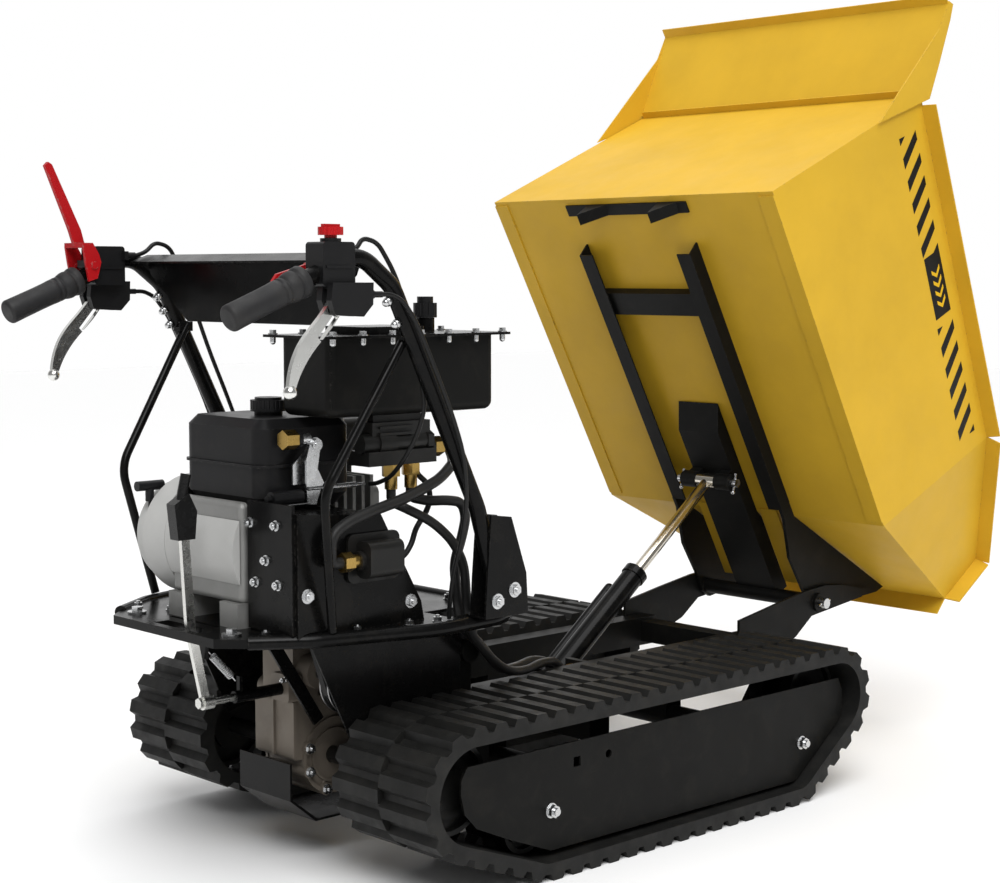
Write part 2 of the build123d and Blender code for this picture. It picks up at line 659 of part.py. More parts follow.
def hydraulic_pump():
    """Gear pump on a flange bolted to the belt guard, its inlet facing the rear."""
    flange = fillet(block(-628, -528, -229, -223.4, 472, 546).edges().filter_by(Axis.Y), 12)
    body = fillet(block(-612, -547, -263, -228, 481, 536).edges().filter_by(Axis.X), 12)
    return flange + body + x_rod(-240, 508, -620, -611, 14)


def hose_fittings():
    """Brass unions at the valve, the pump, the belt guard and the hose bulkhead."""
    parts = []
    for x in (-496, -456):
        parts.append(hexagon((x, -171, 640), (x, -171, 620), 26) + z_rod(x, -171, 600, 620, 10))
    parts.append(hexagon((-414, -171, 661), (-396, -171, 661), 28))
    parts.append(hexagon((-650, -240, 508), (-632, -240, 508), 26) + x_rod(-240, 508, -632, -620.2, 10))
    parts.append(hexagon((-681, -141, 685), (-659, -141, 685), 26))
    parts.append(hexagon((-504, -165, 486), (-494, -165, 486), 16))
    for y in (-70, -94):
        parts.append(hexagon((-8, y, 228), (8, y, 228), 20))
    return parts


def hoses():
    pressure = [(-396, -171, 661), (-378, -171, 661), (-378, -186, 636), (-420, -202, 614),
                (-475, -217, 600), (-524, -228, 590), (-590, -240, 580), (-636, -240, 568),
                (-669, -240, 550), (-669, -240, 508), (-650, -240, 508)]
    lower = [(-496, -171, 600), (-496, -171, 580), (-478, -192, 568), (-442, -208, 547),
             (-408, -216, 515), (-386, -218, 476), (-382, -218, 432), (-380, -218, 400),
             (-368, -214, 362), (-330, -206, 326), (-288, -194, 296), (-240, -174, 276),
             (-180, -148, 266), (-120, -120, 266), (-64, -98, 258), (-32, -94, 228), (-8, -94, 228)]
    upper = [(-456, -171, 600), (-456, -171, 584), (-430, -184, 577), (-402, -192, 577),
             (-372, -196, 572), (-362, -196, 548), (-372, -196, 512), (-388, -196, 476),
             (-384, -197, 432), (-380, -197, 400), (-368, -194, 368), (-326, -188, 338),
             (-284, -172, 302), (-238, -148, 274), (-180, -124, 268), (-120, -98, 268),
             (-64, -76, 254), (-32, -70, 228), (-8, -70, 228)]
    drain = [(-434, -158, 639.7), (-434, -158, 620), (-412, -163, 600), (-410, -165, 575),
             (-420, -165, 555), (-441, -165, 533), (-449, -165, 510), (-462, -165, 494),
             (-478, -165, 486), (-494, -165, 486)]
    return [hose("pressure hose", pressure, 8.5), hose("lowering hose", lower, 7.5),
            hose("lifting hose", upper, 8.0), hose("drain hose", drain, 4.5)]


# ---------------------------------------------------------------- handles and controls
def handle_tube(radius):
    path = [(x, -HANDLE_Y, z) for x, z in HANDLE_PATH]
    return tube(path, [50, 60, 90], radius)


def handle():
    """Right handle tube with its foot bracket."""
    outline = [(-432, 409), (-342, 409), (-346, 470), (-378, 560), (-420, 566), (-428, 470)]
    cheek = xz_prism(outline, -318, -314) + xz_prism(outline, -286, -282)
    foot = block(-432, -342, -318, -272, 406.3, 409.5)
    return handle_tube(HANDLE_TUBE) + cheek + foot


def handle_bolts():
    return [hex_bolt((x, -318, z), (0, -1, 0), 15, 12) for x, z in ((-372, 446), (-408, 432))]


def stay_rod():
    points = [(-558, -288, 850), (-704, -270, 617), (-664, -236, 407)]
    lug = block(-578, -552, -300, -282, 836, 852)
    return tube(points, [70], 7) + lug - handle_tube(HANDLE_TUBE + 0.05)


def on_handle(distance):
    """Point on the handle's rear straight, measured forwards from the tube's rear end."""
    (x0, z0), (x1, z1) = HANDLE_PATH[:2]
    length = hypot(x1 - x0, z1 - z0)
    return (x0 + (x1 - x0) * distance / length, -HANDLE_Y, z0 + (z1 - z0) * distance / length)


def grip():
    """Rubber sleeve with a collar at its inner end and a rounded tip."""
    body = rod(on_handle(-9), on_handle(125), GRIP_RADIUS)
    body = body + rod(on_handle(120), on_handle(128), GRIP_RADIUS + 4)
    body = fillet(body.faces().sort_by(Axis.X)[0].edges(), 6)
    return body - rod(on_handle(-0.5), on_handle(140), HANDLE_TUBE + RUN_FIT)


def lever_perch():
    """Block clamped round the handle tube, with the steering lever's fork hung from its outer side."""
    clamp = fillet(block(-741, -684, -320, -280, 914, 977).edges().filter_by(Axis.Y), 6)
    clamp = clamp + block(-736, -690, -322, -278, 940, 944)
    side = [(-735, 920), (-662, 920), (-663, 889), (-680, 872), (-731, 875), (-738, 895)]
    fork = xz_prism(side, -334, -322.4) + xz_prism(side, -311.6, -300)
    fork = fork + block(-697, -663, -334, -300, 892, 914) + block(-733, -664, -334, -300, 911, 919)
    adjuster = x_rod(-323, 903, -668, -654, 6) + x_rod(-323, 903, -654, -638, 4.5)
    socket = x_rod(-276, 962, -684, -668, 5.5) + block(-690, -683, -284, -270, 955, 969)
    body = clamp + fork + adjuster + socket
    body = body - y_rod(*LEVER_PIVOT, -331, -303, 4 + RUN_FIT)
    return body - rod(on_handle(100), on_handle(240), HANDLE_TUBE)


def perches():
    """Right perch with the stop switch's socket and throttle seat, left with the clutch pivot."""
    right = lever_perch() + z_rod(-712, -HANDLE_Y, 976, 982, 15)
    right = right - z_rod(-712, -HANDLE_Y, 966, 984, 9.4) + throttle_seat()
    x, z = CLUTCH_PIVOT
    ear = block(x - 7, -738, HANDLE_Y - 12, HANDLE_Y + 12, z - 1.5, z + 8) + y_rod(
        x, z, HANDLE_Y - 12, HANDLE_Y + 12, 7)
    ear = ear - rod(on_handle(100), on_handle(240), HANDLE_TUBE + 0.5).mirror(Plane.XZ)
    left = mirrored(lever_perch()) + ear - y_rod(x, z, HANDLE_Y - 20, HANDLE_Y + 20, 3 + RUN_FIT)
    return group(right, left)


def steering_lever():
    """Curved blade that tapers to a ball end, pivoted in the perch's fork."""
    y = -317.0
    outer = ((-727, 899), (-752, 868), (-783, 834), (-799, 798), (-803, 770))
    inner = ((-704, 889), (-730, 854), (-762, 822), (-783, 792), (-793, 768))
    far = Spline(*[(x, y - 4, z) for x, z in outer])
    near = Spline(*[(x, y - 4, z) for x, z in inner])
    ends = [Line(far @ 0, near @ 0), Line(far @ 1, near @ 1)]
    blade = extrude(Face(Wire([far, near] + ends)), amount=8, dir=(0, 1, 0))
    slot = xz_prism([(-724, 876), (-716, 872), (-746, 838), (-752, 844)], y - 5, y + 5)
    eye = y_rod(*LEVER_PIVOT, y - 5, y + 5, 10) + y_rod(*LEVER_PIVOT, y - 12, y + 12, 4)
    return blade - slot + eye + Pos(-798, y, 769) * Sphere(10)


def clutch_lever():
    """Long red lever whose two cheeks straddle the left handle, on a pin through the perch's ear."""
    y = HANDLE_Y
    blade = xz_prism([(-767, 976), (-749, 982), (-755, 1003), (-805, 1106), (-812, 1110), (-818, 1104),
                      (-776, 1003)], y - 3.5, y + 3.5)
    cheek = [(-767, 976), (-749, 982), (-738, 964), (-734, 951), (-741, 925), (-757, 920),
             (-763, 950)]
    cheeks = xz_prism(cheek, y - 29.5, y - 25) + xz_prism(cheek, y + 25, y + 29.5)
    bridge = block(-767, -750, y - 29, y + 29, 974, 982)
    x, z = CLUTCH_PIVOT
    heads = y_rod(x, z, y - 32, y - 29, 6) + y_rod(x, z, y + 29, y + 32, 6)
    return blade + cheeks + bridge + heads + y_rod(x, z, y - 30, y + 30, 3)


def throttle_lever():
    y = -266.0
    hub = y_rod(-722, 936, y - 6, y + 6, 13)
    blade = xz_prism([(-730, 946), (-722, 924), (-776, 914), (-790, 922), (-782, 932)], y - 3, y + 3)
    return hub + blade


def throttle_seat():
    return y_rod(-722, 936, -286, -272.3, 10) - rod(on_handle(145), on_handle(194), HANDLE_TUBE)


def stop_knob():
    """Ribbed mushroom button with a raised bar across its top."""
    x, y = -712, -HANDLE_Y
    knob = z_rod(x, y, 986.5, 998, 18) + block(x - 14, x + 14, y - 4, y + 4, 997, 1002)
    for k in range(12):
        a = radians(30 * k)
        knob = knob - z_rod(x + 20 * cos(a), y + 20 * sin(a), 984, 999, 3.2)
    return knob + z_rod(x, y, 976.5, 987, 9)


def console_panel():
    """Sheet panel between the handles with a sloping visor along its top and a foot flange."""
    face = yz_prism([(-284, 962), (284, 962), (268, 930), (163, 856), (-163, 856), (-268, 930)],
                    -642, -639)
    visor = xz_prism([(-639, 963.5), (-674, 952), (-674, 949), (-639, 960.5)], -283, 283)
    foot = block(-642, -628, -163, 163, 856, 859)
    return face + visor + foot


def cables():
    """Control cables, held along the handle tubes by clips."""
    steer = [(-637.7, -323, 903), (-622, -323, 903), (-600, -324, 894), (-574, -324, 862),
             (-540, -324, 796), (-504, -324, 722), (-480, -323, 660), (-470, -318, 592),
             (-464, -300, 532), (-456, -270, 474), (-448, -252, 416), (-448, -252, 401)]
    throttle = [(-666.5, -276, 962), (-646, -276, 968), (-632, -272, 984), (-604, -272, 978),
                (-576, -277, 934), (-550, -277, 872), (-530, -276, 800), (-512, -272, 736),
                (-514, -256, 692), (-520, -232, 652), (-522, -200, 622), (-526, -172, 611),
                (-530, -160, 610)]
    clutch = [(-666.5, 276, 962), (-646, 276, 968), (-632, 272, 984), (-604, 272, 978), (-576, 277, 934),
              (-550, 277, 872), (-522, 277, 800), (-490, 277, 730), (-462, 277, 664),
              (-448, 272, 592), (-444, 262, 532), (-436, 250, 474), (-440, 240, 416), (-440, 240, 401)]
    left_steer = [(x, -y, z) for x, y, z in steer]
    return [hose("right steering cable", steer, 3.5), hose("throttle cable", throttle, 3.5),
            hose("clutch cable", clutch, 3.5), hose("left steering cable", left_steer, 3.5)]


def gear_lever():
    """Flat bar on the end of the shift shaft, through the deck's gate, with a two-part knob."""
    x, y, z = GEAR_PIVOT
    bar = xz_prism([(x - 7, z - 8), (x + 7, z - 8), (-773, DECK_Z), (-783, 552), (-797, 552),
                    (-788, DECK_Z)], y - 4, y + 4)
    shaft = x_rod(y, z, x - 8, -567, SHIFT_SHAFT) + x_rod(y, z, x - 8, x + 10, 11)
    head = hexagon((x - 7, y, z), (x - 15, y, z), 15)
    knob = prism([(-806, y - 11, 536), (-776, y - 11, 536), (-772, y - 11, 578), (-786, y - 11, 606),
                  (-812, y - 11, 590)], (0, 1, 0), 22)
    return bar + shaft + head + knob + rod((-794, y, 592), (-784, y, 634), 8)


def return_spring():
    return rod((-745, -38, 356), (-704, -38, 312), 7)


# ---------------------------------------------------------------- bin
def polyhedron(faces):
    return Solid(Shell([Face(Wire.make_polygon(points, close=True)) for points in faces]))


def bin_points():
    """Corners of the bin's outer surface on its right-hand side, in the bin's own frame."""
    h = FLOOR_HALF
    floor_rear, floor_front = Vector(0, -h, 0), Vector(FLOOR_LENGTH, -h, 0)
    rear, knee = Vector(RIM_REAR[0], -h, RIM_REAR[1]), Vector(RIM_KNEE[0], -h, RIM_KNEE[1])
    lip = Vector(LIP_FRONT[0], -LIP_HALF, LIP_FRONT[1])
    normal = (knee - floor_front).cross(lip - floor_front)
    x, z = RIM_FRONT
    y = floor_front.Y - (normal.X * (x - floor_front.X) + normal.Z * z) / normal.Y
    return floor_rear, floor_front, rear, knee, Vector(x, y, z), lip


def across(point):
    return Vector(point.X, -point.Y, point.Z)


def bin_panels():
    """Outlines of the floor, rear wall, ramp and sides on the bin's outer surface."""
    a, b, rear, knee, front, lip = bin_points()
    sides = [[a, b, knee, rear], [b, lip, front, knee]]
    panels = sides + [[across(p) for p in reversed(side)] for side in sides]
    panels += [[a, across(a), across(b), b], [b, across(b), across(lip), lip],
               [a, rear, across(rear), across(a)]]
    return [[tuple(p) for p in panel] for panel in panels]


def bin_mouth():
    _, _, rear, knee, front, lip = bin_points()
    mouth = [[rear, knee, across(knee), across(rear)], [knee, front, across(front), across(knee)],
             [front, lip, across(lip), across(front)]]
    return [[tuple(p) for p in panel] for panel in mouth]


def bin_tub():
    """Sheet panels of constant thickness inside the bin's outer surface."""
    hull = polyhedron(bin_panels() + bin_mouth())
    middle = hull.center()
    tub = None
    for panel in bin_panels():
        face = Face(Wire.make_polygon(panel, close=True))
        inward = face.normal_at()
        if inward.dot(middle - face.center()) < 0:
            inward = inward * -1
        plate = extrude(face, amount=BIN_WALL, dir=tuple(inward))
        tub = plate if tub is None else tub + plate
    return tub & hull


def rim_strip(start, end, outward, width, trim_start, trim_end):
    """Flange folded out of a panel's edge, its ends trimmed for the corner notches."""
    along = (end - start).normalized()
    out = (outward - along * outward.dot(along)).normalized()
    down = along.cross(out)
    if down.Z > 0:
        down = down * -1
    corners = [start, end, end + out * width - along * trim_end, start + out * width + along * trim_start]
    return prism([tuple(c) for c in corners], tuple(down), BIN_WALL)


def bin_rim():
    floor_rear, floor_front, rear, knee, front, lip = bin_points()
    side_out = Vector(0, -1, 0)
    panel_out = (knee - floor_front).cross(lip - floor_front).normalized()
    if panel_out.Y > 0:
        panel_out = panel_out * -1
    ramp_out = Vector(LIP_FRONT[1], 0, -(LIP_FRONT[0] - FLOOR_LENGTH)).normalized()
    strips = [rim_strip(rear + (knee - rear).normalized() * 18, knee, side_out, RIM_FLANGE, 0, 4),
              rim_strip(knee, front, panel_out, RIM_FLANGE, 4, 4),
              rim_strip(lip, front, panel_out, RIM_FLANGE, 6, 4)]
    strips = strips + [mirrored(s) for s in strips]
    strips.append(rim_strip(lip, across(lip), ramp_out, 34, 6, 6))
    return strips


def bin_shell():
    shell = bin_tub() + bin_rim()
    for side in (-1, 1):
        lo, hi = sorted((side * (FLOOR_HALF - 34), side * FLOOR_HALF))
        shell = shell + block(8, FLOOR_LENGTH - 8, lo, hi, -2.5, 0.5)
        lo, hi = sorted((side * 58, side * 100))
        shell = shell + block(FLOOR_LENGTH - 10, 866, lo, hi, -3, 1)
    rear_lip = xz_prism([(RIM_REAR[0] - 14, RIM_REAR[1]), (RIM_REAR[0] + 3, RIM_REAR[1]),
                         (RIM_REAR[0] + 3, RIM_REAR[1] - 3), (RIM_REAR[0] - 14, RIM_REAR[1] - 3)],
                        -FLOOR_HALF + 4, FLOOR_HALF - 4)
    return in_bin(shell + rear_lip)


def spill_guard():
    """Sheet that raises the rear of the bin, with side gussets and a folded top lip."""
    foot, top = (RIM_REAR[0] - 4.5, RIM_REAR[1] + 0.5), (-70.0, 621.0)
    sheet = xz_prism([foot, (foot[0] + 3, foot[1] + 2), (top[0] + 3, top[1] + 2), top], -355, 355)
    lip = xz_prism([top, (top[0] + 3, top[1] + 2), (top[0] - 18, top[1] + 2), (top[0] - 18, top[1] - 1)],
                   -355, 355)
    gusset = xz_prism([(31, 324), (61, 486), (20, 540), (-40, 614), (-62, 636), (-73, 626), (-40, 576)],
                      -355.4, -352.4)
    return in_bin(sheet + lip + gusset + mirrored(gusset))


def latch_strip():
    """Bent strip across the floor with two V-shaped hooks."""
    shape = [(154, -4), (96, -4), (91, -42), (50, -4), (-82, -4), (-87, -42), (-126, -4), (-148, -4),
             (-148, -0.3), (154, -0.3)]
    return yz_prism(shape, 12, 34)


def bin_arm():
    outline = [(664, -1), (FLOOR_LENGTH, -1), (994, 174), (990, 150), (932, 30), (908, -36),
               (884, -50), (850, -46), (763, -51), (687, -29), (664, -29)]
    return xz_prism(outline, -140, -133)


def bin_frame():
    """Black channels, cross tie, hinge arms, hinge tube and cylinder box under the floor."""
    web = xz_prism([(96, -0.3), (106, -28), (666, -28), (666, -0.3)], -140, -136)
    flange = block(106, 668, -140, -107, -28, -25)
    side = web + flange + bin_arm()
    frame = side + mirrored(side)
    tie = block(193, 240, -136, 136, -20, -17)
    tie = tie + block(193, 196, -136, 136, -20, -0.3) + block(237, 240, -136, 136, -20, -0.3)
    box = xz_prism([(445, -2.8), (495, -30), (884, -30), (884, 4), (714, 4), (695, -2.8)], -50, 50)
    hollow = xz_prism([(455, -5.5), (497, -27), (890, -27), (890, 1), (716, 1), (697, -5.5)], -47, 47)
    bosses = None
    forward, up = ROD_PIN_LOCAL
    for side_sign in (-1, 1):
        lo, hi = sorted((side_sign * 24, side_sign * 60))
        boss = y_rod(forward, up, lo, hi, 16) + block(forward - 14, forward + 14, lo if lo > -50 else -50,
                                                      hi if hi < 50 else 50, up, -28)
        bosses = boss if bosses is None else bosses + boss
    bosses = bosses - y_rod(forward, up, -70, 70, ROD_PIN + RUN_FIT)
    frame = frame + tie + (box - hollow) + bosses + y_rod(*HINGE_LOCAL, -133.5, 133.5, 15)
    return in_bin(frame - y_rod(*HINGE_LOCAL, -150, 150, HINGE_PIN + RUN_FIT))


def hinge_pin():
    """Hinge pin with its end collars and cotter rings."""
    x, z = HINGE
    pin = y_rod(x, z, -172, 172, HINGE_PIN)
    for side in (-1, 1):
        pin = pin + rod((x - 17, side * 165, z - 3), (x + 17, side * 165, z + 5), 2.6)
    return pin


# ---------------------------------------------------------------- cylinder
def along_cylinder(distance, side=0.0):
    """Point on the cylinder's axis at a distance from the rod pin towards the foot."""
    px, pz = bin_point(*ROD_PIN_LOCAL)
    fx, fz = CYLINDER_FOOT
    length = hypot(fx - px, fz - pz)
    return (px + (fx - px) * distance / length, side, pz + (fz - pz) * distance / length)


def cylinder_length():
    px, pz = bin_point(*ROD_PIN_LOCAL)
    return hypot(CYLINDER_FOOT[0] - px, CYLINDER_FOOT[1] - pz)


def cylinder_rod():
    px, pz = bin_point(*ROD_PIN_LOCAL)
    eye = y_rod(px, pz, -23.5, 23.5, 14)
    stem = rod(along_cylinder(0), along_cylinder(295), ROD_RADIUS)
    piston = rod(along_cylinder(277), along_cylinder(296), BARREL_BORE - RUN_FIT)
    return eye + stem + piston - y_rod(px, pz, -30, 30, ROD_PIN + RUN_FIT)


def cylinder_barrel():
    """Barrel with gland nut, cap, foot eye and pin, and the transfer tube beside it."""
    full = cylinder_length()
    mouth, cap = EXPOSED_ROD, full - 28
    barrel = rod(along_cylinder(mouth), along_cylinder(cap), BARREL_RADIUS)
    nut = rod(along_cylinder(mouth + 2), along_cylinder(mouth + 17), BARREL_RADIUS + 2.5)
    bore = rod(along_cylinder(mouth + 18), along_cylinder(full - 46), BARREL_BORE)
    gland = rod(along_cylinder(mouth - 1), along_cylinder(mouth + 20), ROD_RADIUS + RUN_FIT)
    x, z = CYLINDER_FOOT
    foot = y_rod(x, z, -24, 24, 20)
    neck = rod(along_cylinder(full - 40), along_cylinder(full), 15)
    pin = y_rod(x, z, -42, 42, 10)
    line = rod(along_cylinder(mouth + 52, 34), along_cylinder(full - 50, 34), 9)
    line = line + Pos(*along_cylinder(mouth + 52, 34)) * Sphere(9)
    for at in (mouth + 62, full - 60):
        line = line + rod(along_cylinder(at, 18), along_cylinder(at, 34), 7)
    body = barrel + nut + line
    return body - bore - gland + foot + neck + pin


def rod_pin():
    px, pz = bin_point(*ROD_PIN_LOCAL)
    pin = y_rod(px, pz, -74, 74, ROD_PIN)
    for side in (-1, 1):
        pin = pin + rod((px + 4, side * 66, pz + 18), (px - 4, side * 66, pz - 18), 2.6)
        pin = pin + Pos(px - 4, side * 66, pz - 18) * Sphere(4)
    return pin


# ---------------------------------------------------------------- the whole machine
def build_undercarriage():
    right_track = track()
    save("track_right", right_track)
    save("track_left", mirrored(right_track))
    wheels = {"sprocket": sprocket(), "idler": grooved_wheel(IDLER, 12 + RUN_FIT, 20),
              "roller_front": grooved_wheel(FRONT_ROLLER, 12 + RUN_FIT, 18),
              "roller_rear": grooved_wheel(REAR_ROLLER, 12 + RUN_FIT, 18),
              "track_frame": track_frame()}
    for name, shape in wheels.items():
        save(name + "_right", shape)
        save(name + "_left", mirrored(shape))
    save("side_plates", pair(side_plate()))
    save("chassis_frame", chassis_frame())
    save("belly_plates", belly_plates())
    save("gearbox_case", gearbox_case())


def build_platform():
    save("deck_plate", deck_plate())
    paired = handle_bolts() + [side_plate_stud(-341), side_plate_stud(285)]
    bolts = deck_bolts() + guard_bolts() + gearbox_bolts() + tank_nuts() + paired
    save("bolts_and_nuts", group(*bolts, *[mirrored(b) for b in paired]))
    save("gear_lever", gear_lever())
    save("return_spring", return_spring())


def build_engine():
    parts = {"engine_block": engine_block(), "engine_shroud": engine_shroud(),
             "recoil_grip": recoil_grip(), "fuel_tank": fuel_tank(), "fuel_cap": fuel_cap(),
             "muffler": muffler(), "carburettor": carburettor(), "governor_arm": governor_arm(),
             "belt_guard": belt_guard(),
             "engine_pulley": engine_pulley(), "gearbox_pulley": gearbox_pulley(),
             "drive_belt": drive_belt()}
    for name, shape in parts.items():
        save(name, shape)


def build_hydraulics():
    parts = {"oil_tank": oil_tank(), "oil_tank_lid": oil_tank_lid(),
             "oil_cap": oil_cap(), "control_valve": control_valve(), "valve_lever": valve_lever(),
             "hydraulic_pump": hydraulic_pump(), "hose_fittings": group(*hose_fittings()),
             "hydraulic_hoses": group(*hoses()), "cylinder_rod": cylinder_rod(),
             "cylinder_barrel": cylinder_barrel(), "rod_pin": rod_pin()}
    for name, shape in parts.items():
        save(name, shape)


def build_controls():
    save("handle_right", handle())
    save("handle_left", mirrored(handle()))
    save("stay_rods", pair(stay_rod()))
    save("console_panel", console_panel())
    save("handle_grips", pair(grip()))
    save("lever_perches", perches())
    save("steering_lever_right", steering_lever())
    save("steering_lever_left", mirrored(steering_lever()))
    save("clutch_lever", clutch_lever())
    save("throttle_lever", throttle_lever())
    save("stop_knob", stop_knob())
    save("control_cables", group(*cables()))


def build_bin():
    save("bin_shell", bin_shell())
    save("spill_guard", spill_guard())
    save("bin_frame", bin_frame())
    save("latch_strip", in_bin(latch_strip()))
    save("hinge_pin", hinge_pin())


build_undercarriage()
build_platform()
build_engine()
build_hydraulics()
build_controls()
build_bin()
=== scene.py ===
"""Looks of the tracked power wheelbarrow: materials, decals and the finely shaped pieces."""
import math

import bpy
from mathutils import Matrix, Vector


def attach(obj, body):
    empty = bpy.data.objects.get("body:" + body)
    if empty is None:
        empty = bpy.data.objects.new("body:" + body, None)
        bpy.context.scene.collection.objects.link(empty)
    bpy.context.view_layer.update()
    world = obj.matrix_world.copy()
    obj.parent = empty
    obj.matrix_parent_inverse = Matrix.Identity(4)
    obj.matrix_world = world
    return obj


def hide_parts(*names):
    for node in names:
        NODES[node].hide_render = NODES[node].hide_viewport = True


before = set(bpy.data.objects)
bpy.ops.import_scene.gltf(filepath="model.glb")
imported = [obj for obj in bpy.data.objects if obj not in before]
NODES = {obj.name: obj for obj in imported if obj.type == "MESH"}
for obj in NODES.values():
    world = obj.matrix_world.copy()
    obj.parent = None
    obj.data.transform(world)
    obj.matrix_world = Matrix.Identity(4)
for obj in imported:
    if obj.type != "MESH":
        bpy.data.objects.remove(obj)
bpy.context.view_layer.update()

MIDDLE_X = 0.0465             # the stored frame sits this much behind the drawing's X
TIP = math.radians(60.72)     # bin's tilt in the stored pose
BIN_ORIGIN = Vector((0.209 - MIDDLE_X, 0.0, 1.073))
KNOB_FROM = 0.536             # height at which the gear lever's knob begins


def drawn(x, y, z):
    """Millimetres of the machine's drawing to metres of the stored frame."""
    return Vector((x / 1000 - MIDDLE_X, y / 1000, z / 1000))


def in_bin(forward, side, up):
    """Millimetres of the bin's own axes to the stored frame, bin tipped."""
    c, s = math.cos(TIP), math.sin(TIP)
    return BIN_ORIGIN + Vector((forward * c + up * s, side, -forward * s + up * c)) / 1000


# ---------------------------------------------------------------- materials
class Surface:
    """A Principled material with helpers for the procedural detail on it."""

    def __init__(self, name, roughness, metallic=0.0, coat=0.0, coat_roughness=0.1, specular=0.5):
        self.material = bpy.data.materials.new(name)
        self.material.use_nodes = True
        self.tree = self.material.node_tree
        self.shader = self.tree.nodes["Principled BSDF"]
        self.put("Metallic", metallic)
        self.put("Roughness", roughness)
        self.put("Coat Weight", coat)
        self.put("Coat Roughness", coat_roughness)
        self.put("Specular IOR Level", specular)
        self.place = self.tree.nodes.new("ShaderNodeTexCoord").outputs["Object"]

    def put(self, socket, value):
        self.shader.inputs[socket].default_value = value

    def link(self, output, target):
        self.tree.links.new(output, target)

    def noise(self, scale, detail=4.0, roughness=0.55, stretch=(1, 1, 1), distortion=0.0):
        node = self.tree.nodes.new("ShaderNodeTexNoise")
        mapping = self.tree.nodes.new("ShaderNodeMapping")
        mapping.inputs["Scale"].default_value = stretch
        self.link(self.place, mapping.inputs["Vector"])
        self.link(mapping.outputs["Vector"], node.inputs["Vector"])
        node.inputs["Scale"].default_value = scale
        node.inputs["Detail"].default_value = detail
        node.inputs["Roughness"].default_value = roughness
        node.inputs["Distortion"].default_value = distortion
        return node.outputs["Fac"]

    def cells(self, scale, feature="F1"):
        node = self.tree.nodes.new("ShaderNodeTexVoronoi")
        node.feature = feature
        self.link(self.place, node.inputs["Vector"])
        node.inputs["Scale"].default_value = scale
        return node.outputs["Distance"]

    def span(self, value, low, high, start=0.0, end=1.0):
        """Maps a value's start..end to low..high."""
        node = self.tree.nodes.new("ShaderNodeMapRange")
        self.link(value, node.inputs["Value"])
        for socket, number in (("From Min", start), ("From Max", end), ("To Min", low), ("To Max", high)):
            node.inputs[socket].default_value = number
        return node.outputs["Result"]

    def mix(self, factor, first, second):
        node = self.tree.nodes.new("ShaderNodeMix")
        node.data_type = "RGBA"
        self.link(factor, node.inputs["Factor"])
        for socket, value in ((node.inputs[6], first), (node.inputs[7], second)):
            if isinstance(value, (tuple, list)):
                socket.default_value = (*value[:3], 1.0)
            else:
                self.link(value, socket)
        return node.outputs[2]

    def edges(self, radius=0.003):
        """1 along convex edges and 0 on flats, from the angle the bevelled normal turns."""
        bevel = self.tree.nodes.new("ShaderNodeBevel")
        bevel.samples = 4
        bevel.inputs["Radius"].default_value = radius
        geometry = self.tree.nodes.new("ShaderNodeNewGeometry")
        dot = self.tree.nodes.new("ShaderNodeVectorMath")
        dot.operation = "DOT_PRODUCT"
        self.link(bevel.outputs["Normal"], dot.inputs[0])
        self.link(geometry.outputs["Normal"], dot.inputs[1])
        return self.span(dot.outputs["Value"], 1.0, 0.0, 0.75, 0.99)

    def colour(self, value):
        if isinstance(value, (tuple, list)):
            self.shader.inputs["Base Color"].default_value = (*value[:3], 1.0)
        else:
            self.link(value, self.shader.inputs["Base Color"])

    def rough(self, value):
        self.link(value, self.shader.inputs["Roughness"])

    def bump(self, height, strength, distance=0.001):
        node = self.tree.nodes.new("ShaderNodeBump")
        node.inputs["Strength"].default_value = strength
        node.inputs["Distance"].default_value = distance
        self.link(height, node.inputs["Height"])
        self.link(node.outputs["Normal"], self.shader.inputs["Normal"])


def srgb(code):
    """Linear colour of a hex code."""
    parts = [int(code[i:i + 2], 16) / 255 for i in (0, 2, 4)]
    return tuple(c / 12.92 if c <= 0.04045 else ((c + 0.055) / 1.055) ** 2.4 for c in parts)


def shade(colour, factor):
    return tuple(min(1.0, c * factor) for c in colour)


GRIME, DUST = "6b6459", "57534c"      # dried mud in noise patches on the paint, dust on rubber


def painted(name, code, roughness=0.32, coat=0.4, wear=None, peel=0.06, dust=0.05, specular=0.1):
    """Sprayed paint: faint cloudy colour, fine orange peel, dulled patches, thin worn edges."""
    base = srgb(code)
    s = Surface(name, roughness, coat=coat, coat_roughness=0.12, specular=specular)
    clouds = s.noise(5.0, 5.0, 0.6)
    tone = s.mix(s.span(clouds, 0, 1, 0.35, 0.65), shade(base, 0.94), shade(base, 1.05))
    grime = s.span(s.noise(22.0, 8.0, 0.7, distortion=0.6), 0.0, dust, 0.5, 0.8)
    tone = s.mix(grime, tone, srgb(GRIME))
    if wear:
        scratches = s.span(s.noise(160.0, 6.0, 0.7), 0, 1, 0.52, 0.62)
        rim = s.tree.nodes.new("ShaderNodeMath")
        rim.operation = "MULTIPLY"
        s.link(s.edges(), rim.inputs[0])
        s.link(scratches, rim.inputs[1])
        tone = s.mix(rim.outputs[0], tone, srgb(wear))
    s.colour(tone)
    s.rough(s.span(s.noise(14.0, 6.0, 0.6), roughness - 0.05, roughness + 0.09, 0.3, 0.7))
    s.bump(s.noise(420.0, 2.0, 0.5), peel, 0.0006)
    return s.material


